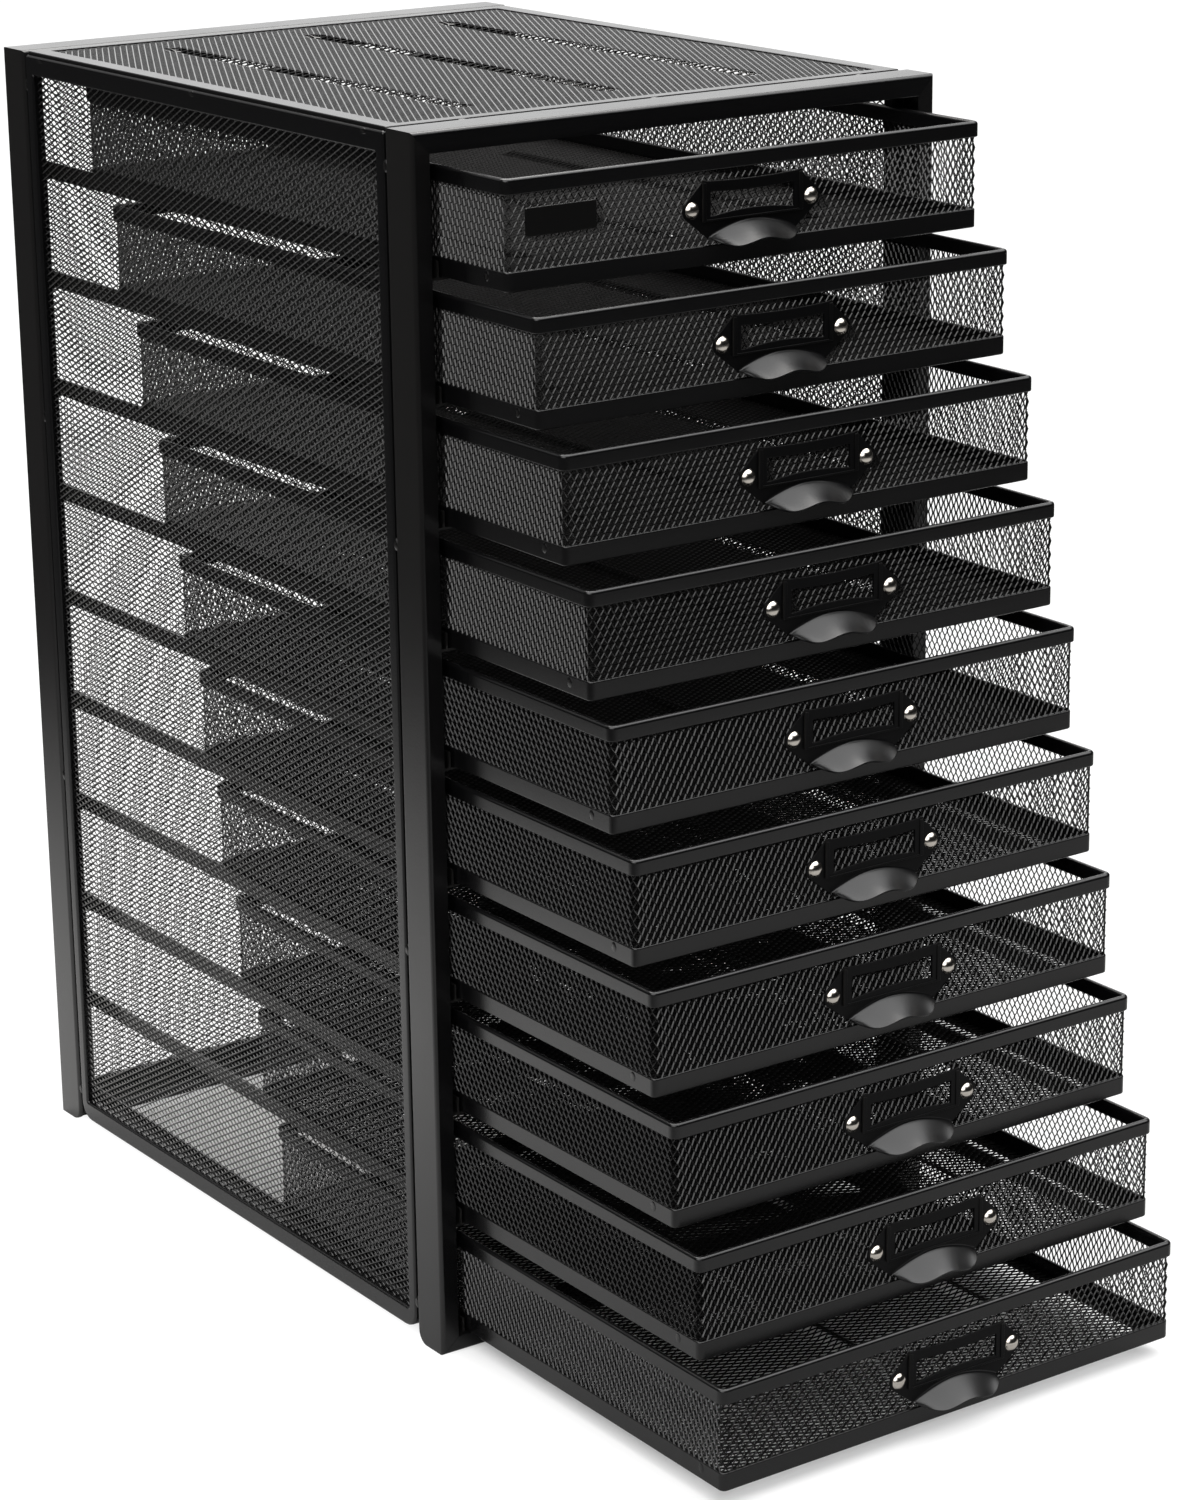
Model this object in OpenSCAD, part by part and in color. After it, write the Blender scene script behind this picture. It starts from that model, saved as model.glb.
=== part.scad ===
// Desktop cabinet of ten shallow drawers in folded sheet steel and expanded steel mesh.
// Millimetres. +Z is up and the drawers open towards -Y. The origin is on the floor,
// at the middle of the box that the cabinet and its open drawers fill.
// The mesh is drawn as thin sheet with a plain grid of openings in place of its diamonds:
// its outline, thickness and pressed beads are real.

/* [Cabinet] */
// Overall width of the cabinet
cab_w = 265; // [235:1:320]
// Overall depth of the cabinet, without the drawers that stand open
cab_d = 348; // [300:1:420]
// Number of drawers
drawer_count = 10; // [2:1:10]

/* [Folded frames] */
// Thickness of the folded sheet steel
sheet_t = 1; // [0.8:0.1:1.5]
// Width of a post's face, seen from the front
post_face = 8.5; // [7:0.5:12]
// Height of the header's face
header_h = 8.9; // [8:0.1:14]
// Height of the sill's face
sill_h = 7.2; // [6:0.1:10]
// Depth of the flange that turns back from each face
flange_d = 20; // [14:1:26]
// Width of the lip that turns in from each flange
lip_w = 6; // [4:0.5:6.5]
// Outside radius of each fold
bend_r = 1.8; // [1.6:0.1:2.5]
// Radius of the flange's free corner at the foot of each post
foot_r = 6; // [3:0.5:8]

/* [Panels] */
// Thickness of the expanded mesh
mesh_t = 0.6; // [0.4:0.1:0.8]
// Width of a panel's rim beside the posts
rim_post_w = 6; // [5:0.5:9]
// Width of a panel's rim on its other edges
rim_free_w = 9; // [7:0.5:12]
// Thickness of a side panel's rim
side_rim_t = 5; // [3:0.5:6]
// Thickness of the top panel's rim
top_rim_t = 1.6; // [1.6:0.1:2.4]
// Thickness of the back panel's rim
back_rim_t = 3; // [2:0.5:4]
// Radius of a side panel's lower corners
side_corner_r = 9; // [4:0.5:12]
// Depth of the mesh inside a rim
rim_bite = 3; // [2:0.5:4]
// Open seam between a panel's rim and the folded frames
seam_w = 1.5; // [1:0.1:3]
// How far the side panels stand in from the posts' faces
side_set_in = 0.3; // [0:0.1:1]
// Height of a side panel's lower edge above the floor
side_lift = 3.5; // [2:0.5:6]
// Length of a weld along a seam
weld_l = 4.5; // [3:0.5:8]
// Depth of a weld
weld_t = 1.2; // [0.8:0.1:2]

/* [Openings] */
// Width of the bars between the openings that stand for the mesh's diamonds
grid_bar = 3; // [2:0.5:5]
// Openings along the depth of the top panel and of each side panel
panel_openings = 10; // [2:1:12]
// Openings up each side panel and the back panel
panel_levels = 12; // [2:1:12]
// Openings across the back panel
back_openings = 8; // [2:1:12]
// Openings across each strip between two pressed beads
strip_openings = 2; // [1:1:3]
// Openings along the depth of each drawer
drawer_openings = 10; // [2:1:12]
// Openings in each third of a drawer's front, beside and between its rivets
front_openings = 4; // [1:1:4]

/* [Pressed beads] */
// Number of beads in the top panel and in each drawer's floor
bead_count = 3; // [1:1:3]
// Distance between two beads
bead_pitch = 74; // [40:1:80]
// Width of a bead
bead_w = 10; // [6:0.5:14]
// Depth of a bead: down in the top panel, up in a drawer's floor
bead_depth = 2; // [1:0.5:3]
// Plain stretch between a bead and the front or back of the cabinet or drawer
bead_end = 52; // [35:1:90]

/* [Drawers] */
// Height of a drawer
drawer_h = 44.6; // [38:0.1:60]
// Open height between a drawer and the next one
level_gap = 6.4; // [5:0.1:10]
// Gap between the drawer and the posts on each side
side_gap = 4.2; // [3.5:0.1:6]
// Gap between a closed drawer's back and the cabinet's back
back_gap = 7; // [5:0.5:12]
// Gap between the lowest drawer and the sill
sill_gap = 0.4; // [0.4:0.1:2]
// Gap between the top drawer and the header
header_gap = 4.9; // [3:0.1:8]
// Height of the folded rim along a drawer's top edge
rim_h = 6.5; // [5:0.5:9]
// Thickness of that rim
rim_t = 3; // [2.6:0.1:4]
// Radius of the rim's corners
rim_r = 3.6; // [3.2:0.1:6]
// Height of the band along a drawer's lower edge
band_h = 8.1; // [6:0.1:11]
// Thickness of the band
band_t = 2; // [1.8:0.1:2.6]
// How far the band stands in from the rim
band_in = 0.8; // [0.4:0.1:1]
// Width of the band's flange below the floor
band_flange = 7.2; // [5:0.1:10]
// Thickness of the band's flange
flange_t = 0.8; // [0.6:0.1:1.2]
// How far the mesh wall stands in from the rim's face
wall_in = 1.2; // [1.1:0.1:1.4]
// Distance that each drawer stands open, from the top drawer down
open = [46, 66, 83, 99, 113, 127, 139, 152, 168, 183]; // [0:1:200]

/* [Runners] */
// Thickness of a runner
runner_t = 1; // [0.8:0.1:1.5]
// Height of a runner's upright leg above the drawer's lower edge
runner_rise = 6.5; // [4:0.5:10]
// Width of a runner's seat under the drawer
runner_seat = 6; // [5:0.5:8]
// Gap between a drawer's band and the runner's upright leg
runner_side_gap = 1; // [0.5:0.1:2]
// Running gap between a drawer and the seat of its runner
run_gap = 0.3; // [0.2:0.1:0.6]

/* [Pulls] */
// Width of the label frame
label_w = 50; // [36:1:70]
// Height of the label frame at its ends
label_h = 16; // [12:0.5:18]
// Distance from the rim's top edge down to the label frame
label_drop = 10.3; // [8:0.1:12]
// Width of the frame around the window
label_border = 4; // [3:0.5:6]
// Rise of the bowed edges at the middle
bow = 1.6; // [0.8:0.1:2.5]
// Thickness of the pull's sheet
pull_t = 0.9; // [0.7:0.1:1.2]
// Distance between the two rivets
rivet_pitch = 60; // [46:1:90]
// Distance from the rim's top edge down to the rivets
rivet_drop = 21.8; // [18:0.1:26]
// Radius of a rivet's domed head
rivet_r = 3.5; // [2:0.1:4]
// Height of a rivet's domed head
rivet_h = 2.2; // [1:0.1:2.4]
// Radius of a rivet's shank
shank_r = 1.2; // [0.8:0.1:1.6]
// Radius of the ear around a rivet
ear_r = 4.5; // [3.2:0.1:5]
// Width of the lip that a finger pulls
lip_span = 43; // [30:1:60]
// How far that lip stands out from the pull's sheet
lip_reach = 9.4; // [6:0.1:14]
// Distance from the rim's top edge down to the middle of the lip's root
lip_drop = 27.5; // [26:0.5:30]
// Fall of the lip's root from its middle to its ends
lip_arch = 5.1; // [3:0.1:7]
// Angle by which the lip tips forward
lip_tilt = 21; // [0:1:30]

/* [Name plate] */
// Width of the bare plate on the top drawer
plate_w = 33.5; // [20:0.5:50]
// Height of the plate
plate_h = 11.4; // [8:0.1:16]
// Thickness of the plate
plate_t = 1; // [0.6:0.1:1.5]
// Distance from the drawer's side to the plate
plate_side = 10; // [6:0.5:30]
// Distance from the rim's top edge down to the plate
plate_drop = 12.1; // [8:0.1:16]

/* [Hidden] */
$fn = 48;
eps = 0.01;                 // overshoot of a cut past a face
black = "#1b1b1d";
mesh_black = "#242427";
nickel = "#c9c6bf";

pitch = drawer_h + level_gap;
cab_h = sill_h + sill_gap + drawer_count * pitch - level_gap + header_gap + header_h;
drawer_w = cab_w - 2 * post_face - 2 * side_gap;
drawer_d = cab_d - back_gap;
opened = [for (i = [0:drawer_count - 1]) open[i]];
wall_face = wall_in;                         // mesh wall's outer face, behind the rim's face
reach = max(opened) + lip_reach + pull_t - wall_face;
front_y = (reach - cab_d) / 2;               // cabinet's front face
back_y = front_y + cab_d;
panel_y0 = front_y + flange_d + seam_w;      // panels' front edge
panel_len = cab_d - 2 * (flange_d + seam_w);
side_x = cab_w / 2 - side_set_in;            // side panel's outer face
side_top = cab_h - top_rim_t;
runner_x = drawer_w / 2 - band_in + runner_side_gap;   // runner's upright leg, inner face
post_inner_x = cab_w / 2 - post_face;
weld_heights = [side_lift + rim_free_w + weld_l, cab_h * 0.345, cab_h * 0.675,
    side_top - rim_free_w - weld_l];
weld_across = [-0.43, 0, 0.43];              // welds along a header, as parts of the width

// ---------- helpers ----------

function two_digits(i) = i < 10 ? str("0", i) : str(i);
function drawer_node(i, kind) = str("drawer_", two_digits(i), "_", kind);
function drawer_z(i) = sill_h + sill_gap + (drawer_count - i) * pitch;
function drawer_y(i) = front_y - opened[i - 1];
function bead_x(k) = (k - (bead_count - 1) / 2) * bead_pitch;

// Rectangle with round corners, its lower left corner at the origin.
module round_rect(w, h, r) {
    translate([r, 0]) square([w - 2 * r, h]);
    translate([0, r]) square([w, h - 2 * r]);
    for (x = [r, w - r], y = [r, h - r]) translate([x, y]) circle(r);
}

// Ring between a rectangle w by d with round corners and the same one, inset.
module rect_ring(w, d, r, inset, thick) {
    translate([-w / 2 + inset, inset]) difference() {
        round_rect(w - 2 * inset, d - 2 * inset, r - inset);
        translate([thick, thick])
            round_rect(w - 2 * inset - 2 * thick, d - 2 * inset - 2 * thick,
                       max(r - inset - thick, 0.3));
    }
}

// ---------- folded frames ----------

// Section of a folded channel: face along X, flange back along Y, lip along X.
module channel_section(face) {
    difference() {
        intersection() {
            round_rect(2 * face, flange_d, bend_r);
            square([face, flange_d]);
        }
        translate([sheet_t, sheet_t])
            round_rect(2 * face, flange_d - 2 * sheet_t, bend_r - sheet_t);
        translate([lip_w, flange_d - sheet_t - eps]) square([face, sheet_t + 2 * eps]);
    }
}

// Part of the frame's front view, run back through the flanges: it cuts the mitres.
module mitre_wedge(points) {
    translate([0, flange_d + 1, 0]) rotate([90, 0, 0]) linear_extrude(flange_d + 2) polygon(points);
}

// What the round corner at the foot of a post leaves out.
module foot_corner() {
    translate([-cab_w / 2 - eps, flange_d - foot_r, -eps]) difference() {
        cube([post_face, foot_r + 1, foot_r]);
        translate([-1, 0, foot_r + eps]) rotate([0, 90, 0]) cylinder(r = foot_r, h = post_face + 2);
    }
}

module left_post_shape() {
    difference() {
        intersection() {
            translate([-cab_w / 2, 0, 0]) linear_extrude(cab_h) channel_section(post_face);
            mitre_wedge([[-cab_w / 2, 0], [-cab_w / 2, cab_h],
                [-post_inner_x, cab_h - header_h], [-post_inner_x, sill_h]]);
        }
        foot_corner();
    }
}

module header_shape() {
    intersection() {
        translate([-cab_w / 2, 0, cab_h]) rotate([0, 90, 0])
            linear_extrude(cab_w) channel_section(header_h);
        mitre_wedge([[-cab_w / 2, cab_h], [cab_w / 2, cab_h],
            [post_inner_x, cab_h - header_h], [-post_inner_x, cab_h - header_h]]);
    }
}

module sill_shape() {
    difference() {
        intersection() {
            translate([cab_w / 2, 0, 0]) rotate([0, -90, 0])
                linear_extrude(cab_w) channel_section(sill_h);
            mitre_wedge([[-cab_w / 2, 0], [cab_w / 2, 0],
                [post_inner_x, sill_h], [-post_inner_x, sill_h]]);
        }
        foot_corner();
        mirror([1, 0, 0]) foot_corner();
    }
}

module at_front() { translate([0, front_y, 0]) children(); }
module at_back() { translate([0, back_y, 0]) mirror([0, 1, 0]) children(); }
module right_side() { mirror([1, 0, 0]) children(); }

module front_left_post() { color(black) at_front() left_post_shape(); }
module front_right_post() { color(black) right_side() at_front() left_post_shape(); }
module front_header() { color(black) at_front() header_shape(); }
module front_sill() { color(black) at_front() sill_shape(); }
module back_left_post() { color(black) at_back() left_post_shape(); }
module back_right_post() { color(black) right_side() at_back() left_post_shape(); }
module back_header() { color(black) at_back() header_shape(); }
module back_sill() { color(black) at_back() sill_shape(); }

// ---------- openings ----------

// Openings nx across and ny up in the field from p0 to p1, with bars between them.
module openings(p0, p1, nx, ny) {
    w = (p1[0] - p0[0] - (nx - 1) * grid_bar) / nx;
    h = (p1[1] - p0[1] - (ny - 1) * grid_bar) / ny;
    if (w > 1 && h > 1)
        for (i = [0:nx - 1], j = [0:ny - 1])
            translate([p0[0] + i * (w + grid_bar), p0[1] + j * (h + grid_bar)]) square([w, h]);
}

// Openings beside and between the beads of a sheet, in a field 2 * half wide.
module openings_beside_beads(half, y0, y1, ny) {
    for (k = [0:bead_count])
        openings([k == 0 ? -half : bead_x(k - 1) + bead_w / 2 + grid_bar, y0],
                 [k == bead_count ? half : bead_x(k) - bead_w / 2 - grid_bar, y1],
                 strip_openings, ny);
}

// ---------- panels ----------

// Trough of a pressed bead below a sheet whose lower face is at z = 0.
module bead_trough(len) {
    translate([-bead_w / 2, 0, -bead_depth]) difference() {
        cube([bead_w, len, bead_depth + mesh_t]);
        translate([mesh_t, mesh_t, mesh_t])
            cube([bead_w - 2 * mesh_t, len - 2 * mesh_t, bead_depth + 1]);
    }
}

// Sheet w by d with pressed beads along Y, its lower face at z = 0.
module beaded_sheet(w, d, end) {
    difference() {
        translate([-w / 2, 0, 0]) cube([w, d, mesh_t]);
        for (k = [0:bead_count - 1])
            translate([bead_x(k) - bead_w / 2, end, -eps]) cube([bead_w, d - 2 * end, mesh_t + 2 * eps]);
    }
    for (k = [0:bead_count - 1]) translate([bead_x(k), end, 0]) bead_trough(d - 2 * end);
}

top_edge_x = cab_w / 2 - bend_r;             // outer edge of the top panel's rim
mesh_up = (top_rim_t - mesh_t) / 2;          // mesh sits at mid height of the rim

module top_mesh_shape() {
    inset = rim_post_w - rim_bite;
    translate([0, panel_y0 + inset, side_top + mesh_up])
        beaded_sheet(2 * (top_edge_x - rim_free_w + rim_bite), panel_len - 2 * inset,
                     bead_end - flange_d - seam_w - inset);
}

module top_mesh() {
    edge = rim_post_w + grid_bar;
    color(mesh_black) difference() {
        top_mesh_shape();
        translate([0, 0, side_top - 1]) linear_extrude(top_rim_t + 2)
            openings_beside_beads(top_edge_x - rim_free_w - grid_bar, panel_y0 + edge,
                                  panel_y0 + panel_len - edge, panel_openings);
    }
}

module top_rim() {
    color(black) difference() {
        translate([-top_edge_x, panel_y0, side_top]) cube([2 * top_edge_x, panel_len, top_rim_t]);
        translate([-top_edge_x + rim_free_w, panel_y0 + rim_post_w, side_top - eps])
            cube([2 * (top_edge_x - rim_free_w), panel_len - 2 * rim_post_w, top_rim_t + 2 * eps]);
        top_mesh_shape();
    }
}

module side_mesh_shape() {
    translate([-side_x + (side_rim_t - mesh_t) / 2, panel_y0 + rim_post_w - rim_bite,
               side_lift + rim_free_w - rim_bite])
        cube([mesh_t, panel_len - 2 * (rim_post_w - rim_bite),
              side_top - side_lift - 2 * (rim_free_w - rim_bite)]);
}

// Outline of a side panel, drawn with Y across and Z up: round lower corners only.
module side_outline() {
    h = side_top - side_lift;
    round_rect(panel_len, h, side_corner_r);
    translate([0, side_corner_r]) square([panel_len, h - side_corner_r]);
}

module side_rim_shape() {
    difference() {
        translate([-side_x, panel_y0, side_lift]) rotate([90, 0, 90]) linear_extrude(side_rim_t)
            difference() {
                side_outline();
                translate([rim_post_w, rim_free_w])
                    square([panel_len - 2 * rim_post_w, side_top - side_lift - 2 * rim_free_w]);
            }
        side_mesh_shape();
    }
}

module side_mesh_open() {
    edge_y = rim_post_w + grid_bar;
    edge_z = rim_free_w + grid_bar;
    difference() {
        side_mesh_shape();
        translate([-side_x - 1, 0, 0]) rotate([90, 0, 90]) linear_extrude(side_rim_t + 2)
            openings([panel_y0 + edge_y, side_lift + edge_z],
                     [panel_y0 + panel_len - edge_y, side_top - edge_z],
                     panel_openings, panel_levels);
    }
}

module left_mesh() { color(mesh_black) side_mesh_open(); }
module left_rim() { color(black) side_rim_shape(); }
module right_mesh() { color(mesh_black) right_side() side_mesh_open(); }
module right_rim() { color(black) right_side() side_rim_shape(); }

back_open_h = cab_h - header_h - sill_h;     // height of the opening in the back frame

module back_mesh_shape() {
    inset = rim_post_w - rim_bite;
    translate([-post_inner_x + inset, back_y - (back_rim_t + mesh_t) / 2, sill_h + inset])
        cube([2 * (post_inner_x - inset), mesh_t, back_open_h - 2 * inset]);
}

module back_mesh() {
    edge = rim_post_w + grid_bar;
    color(mesh_black) difference() {
        back_mesh_shape();
        translate([0, back_y + 1, 0]) rotate([90, 0, 0]) linear_extrude(back_rim_t + 2)
            openings([-post_inner_x + edge, sill_h + edge],
                     [post_inner_x - edge, sill_h + back_open_h - edge],
                     back_openings, panel_levels);
    }
}

module back_rim() {
    color(black) difference() {
        translate([-post_inner_x, back_y - back_rim_t, sill_h])
            cube([2 * post_inner_x, back_rim_t, back_open_h]);
        translate([-post_inner_x + rim_post_w, back_y - back_rim_t - eps, sill_h + rim_post_w])
            cube([2 * (post_inner_x - rim_post_w), back_rim_t + 2 * eps,
                  back_open_h - 2 * rim_post_w]);
        back_mesh_shape();
    }
}

// ---------- runners and welds ----------

runner_y0 = front_y + bend_r;                // runners start behind the front posts' bends
runner_y1 = back_y - back_rim_t;             // and end at the back panel's rim

// One runner on the left: an angle with a tab at each end inside the posts.
module runner_shape(i) {
    seat_z = drawer_z(i) - run_gap - runner_t;
    len = runner_y1 - runner_y0;
    tab = flange_d - max(bend_r, back_rim_t) - bend_r;
    translate([-runner_x - runner_t, runner_y0, seat_z])
        cube([runner_t, len, runner_rise + run_gap + runner_t]);
    translate([-runner_x - eps, runner_y0, seat_z])
        cube([runner_seat - runner_t, len, runner_t]);
    for (y = [runner_y0, back_y - flange_d + bend_r])
        translate([-cab_w / 2 + sheet_t, y, seat_z])
            cube([cab_w / 2 - sheet_t - runner_x - runner_t + eps, tab, runner_t]);
}

module left_runners() { color(black) for (i = [1:drawer_count]) runner_shape(i); }
module right_runners() { color(black) right_side() for (i = [1:drawer_count]) runner_shape(i); }

// Welds that bridge the seams round the side panels and the top panel.
module seam_welds() {
    color(black) {
        for (s = [-1, 1], y = [front_y + flange_d, back_y - flange_d - seam_w], z = weld_heights)
            translate([s * (side_x - weld_t / 2) - weld_t / 2, y, z - weld_l / 2])
                cube([weld_t, seam_w, weld_l]);
        for (y = [front_y + flange_d, back_y - flange_d - seam_w], k = weld_across)
            translate([k * cab_w - weld_l / 2, y, cab_h - weld_t])
                cube([weld_l, seam_w, weld_t]);
    }
}

// ---------- drawers ----------

// Mesh of one drawer, in the drawer's own frame: front at y = 0, lower edge at z = 0.
// The floor's beads stand up into the drawer, so that they clear the sill and the runners.
module basket_shape() {
    wall_z = flange_t + mesh_t + 0.2;
    floor_in = band_in + band_t;
    translate([0, 0, wall_z]) linear_extrude(drawer_h - rim_t / 2 - wall_z)
        rect_ring(drawer_w, drawer_d, rim_r, wall_in, mesh_t);
    translate([0, floor_in, flange_t + mesh_t]) mirror([0, 0, 1])
        beaded_sheet(drawer_w - 2 * floor_in, drawer_d - 2 * floor_in, bead_end - floor_in);
}

module frame_shape() {
    difference() {
        union() {
            translate([0, 0, drawer_h - rim_h]) linear_extrude(rim_h)
                rect_ring(drawer_w, drawer_d, rim_r, 0, rim_t);
            linear_extrude(band_h) rect_ring(drawer_w, drawer_d, rim_r, band_in, band_t);
            linear_extrude(flange_t) rect_ring(drawer_w, drawer_d, rim_r, band_in, band_flange);
        }
        basket_shape();
    }
}

// Openings in a drawer's four walls and floor. The rivets keep a wide bar each.
module basket_openings() {
    x_end = drawer_w / 2 - rim_r - grid_bar;
    rivet_bar = 2 * rivet_r + 1;
    x_in = rivet_pitch / 2 - rivet_bar / 2;
    floor_edge = band_in + band_flange + grid_bar;
    z0 = band_h + grid_bar;
    z1 = drawer_h - rim_h - grid_bar;
    translate([0, drawer_d + 1, 0]) rotate([90, 0, 0]) linear_extrude(drawer_d + 2)
        for (span = [[-x_end, -x_in - rivet_bar], [-x_in, x_in], [x_in + rivet_bar, x_end]])
            openings([span[0], z0], [span[1], z1], front_openings, 1);
    translate([-drawer_w / 2 - 1, 0, 0]) rotate([90, 0, 90]) linear_extrude(drawer_w + 2)
        openings([rim_r + grid_bar, z0], [drawer_d - rim_r - grid_bar, z1], drawer_openings, 1);
    linear_extrude(flange_t + mesh_t + 1)
        openings_beside_beads(drawer_w / 2 - floor_edge, floor_edge, drawer_d - floor_edge,
                              drawer_openings);
}

module rivet_holes() {
    for (s = [-1, 1]) translate([s * rivet_pitch / 2, wall_face + mesh_t + 1, drawer_h - rivet_drop])
        rotate([90, 0, 0]) cylinder(r = shank_r, h = pull_t + mesh_t + 2);
}

// Radius of an arc that rises by rise over a chord of width w.
function arc_r(w, rise) = (w * w / 4 + rise * rise) / (2 * rise);

// Window of the label frame: both edges bow, the upper one down and the lower one up.
module label_window() {
    w = label_w - 2 * label_border;
    h = label_h - 2 * label_border + bow;
    top = -label_drop - label_border;
    difference() {
        translate([-w / 2, top - h]) square([w, h]);
        translate([0, top - bow / 2 + arc_r(w, bow / 2)]) circle(arc_r(w, bow / 2), $fn = 240);
        translate([0, top - h + bow - arc_r(w, bow)]) circle(arc_r(w, bow), $fn = 240);
    }
}

// Where a line from point p touches a circle of radius r round c, on its side s.
function touch(p, c, r, s) =
    let(d = p - c, a = atan2(d[1], d[0]) - s * acos(r / norm(d))) c + r * [cos(a), sin(a)];

// The pull's lowest corner, beside the end of the lip's root.
foot = [lip_span / 2 + pull_t, -lip_drop - lip_arch];

// Ear on the right: from the label frame out to the round end at the rivet, and down to
// the foot.
module ear_outline() {
    inner_x = label_w / 2 - 1;
    top = [label_w / 2, -label_drop - 1];
    centre = [rivet_pitch / 2, -rivet_drop];
    r = ear_r - pull_t / 3;
    translate(centre) circle(ear_r);
    polygon([[inner_x, -label_drop - 1], top, touch(top, centre, r, 1),
        touch(foot, centre, r, -1), foot, [inner_x, -label_drop - label_h]]);
}

// Front view of the pull's sheet: the rim's top edge is z = 0.
module pull_outline() {
    difference() {
        union() {
            polygon([[-label_w / 2, -label_drop], [label_w / 2, -label_drop],
                [label_w / 2, -label_drop - label_h], foot,
                [-foot[0], foot[1]], [-label_w / 2, -label_drop - label_h]]);
            ear_outline();
            mirror([1, 0]) ear_outline();
        }
        translate([0, -label_drop - bow / 2 + arc_r(label_w, bow / 2)])
            circle(arc_r(label_w, bow / 2), $fn = 240);
        label_window();
    }
}

// Cone that the lip is a slice of, tipped forward about the middle of the lip's root.
cone_fall = lip_arch * cos(lip_tilt);
cone_reach = (lip_reach + cone_fall * sin(lip_tilt)) / cos(lip_tilt);
cone_r = arc_r(lip_span, lip_reach / cos(lip_tilt));
root_r = cone_r - cone_reach;
cone_slope = cone_fall / cone_reach;

// Shell of that cone between two depths below its upper face, out to radius r.
module cone_shell(upper, lower, r) {
    inner = root_r - 3 * pull_t;
    rise = (root_r - inner) * cone_slope;
    fall = (r - root_r) * cone_slope;
    translate([0, 0, -lip_drop]) rotate([lip_tilt, 0, 0]) translate([0, root_r, 0])
        rotate_extrude($fn = 96)
            polygon([[inner, rise - upper], [r, -fall - upper],
                [r, -fall - lower], [inner, rise - lower]]);
}

module pull_lip() {
    intersection() {
        cone_shell(0, pull_t, cone_r);
        translate([-lip_span, -2 * lip_reach, -drawer_h])
            cube([2 * lip_span, 2 * lip_reach + pull_t / 2, drawer_h]);
    }
}

module pull_shape() {
    sheet_y = wall_face - pull_t;
    difference() {
        union() {
            difference() {
                translate([0, wall_face, drawer_h]) rotate([90, 0, 0])
                    linear_extrude(pull_t) pull_outline();
                translate([0, sheet_y, drawer_h])
                    cone_shell(pull_t / 2, drawer_h, cone_r + lip_reach);
            }
            translate([0, sheet_y, drawer_h]) pull_lip();
        }
        rivet_holes();
    }
}

module rivet_shape() {
    dome_r = (rivet_r * rivet_r + rivet_h * rivet_h) / (2 * rivet_h);
    tail = 0.8;
    rotate([90, 0, 0]) {
        intersection() {
            translate([0, 0, rivet_h - dome_r]) sphere(dome_r);
            cylinder(r = rivet_r + 1, h = rivet_h + 1);
        }
        translate([0, 0, -pull_t - mesh_t - eps]) cylinder(r = shank_r, h = pull_t + mesh_t + 2 * eps);
        translate([0, 0, -pull_t - mesh_t - tail]) cylinder(r = (rivet_r + shank_r) / 2, h = tail);
    }
}

module in_drawer(i) { translate([0, drawer_y(i), drawer_z(i)]) children(); }

module drawer_frame(i) { color(black) in_drawer(i) frame_shape(); }

module drawer_mesh(i) {
    color(mesh_black) in_drawer(i) difference() {
        basket_shape();
        rivet_holes();
        basket_openings();
    }
}

module drawer_pull(i) { color(black) in_drawer(i) pull_shape(); }

module drawer_rivets(i) {
    color(nickel) in_drawer(i) for (s = [-1, 1])
        translate([s * rivet_pitch / 2, wall_face - pull_t, drawer_h - rivet_drop]) rivet_shape();
}

module name_plate() {
    color(black) in_drawer(1)
        translate([-drawer_w / 2 + plate_side, wall_face, drawer_h - plate_drop - plate_h])
            rotate([90, 0, 0]) linear_extrude(plate_t) round_rect(plate_w, plate_h, 0.8);
}

// ---------- assembly ----------

front_left_post();
front_right_post();
front_header();
front_sill();
back_left_post();
back_right_post();
back_header();
back_sill();
top_rim();
top_mesh();
left_rim();
left_mesh();
right_rim();
right_mesh();
back_rim();
back_mesh();
left_runners();
right_runners();
seam_welds();
name_plate();
for (i = [1:drawer_count]) {
    drawer_frame(i);
    drawer_mesh(i);
    drawer_pull(i);
    drawer_rivets(i);
}
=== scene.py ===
# %% [markdown]
# # A cabinet of ten mini drawers
# This lesson dresses a desk cabinet: folded black steel frames, walls of expanded
# steel mesh, and ten shallow mesh drawers that stand open like a stair. The measured
# model is loaded first. It gives every length, and the bodies that the drawers slide
# with, so each piece that we make only has to say which body it rides on.

# %% Load the measured cabinet
import math
import bpy
import numpy as np
from mathutils import Matrix, Vector


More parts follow.
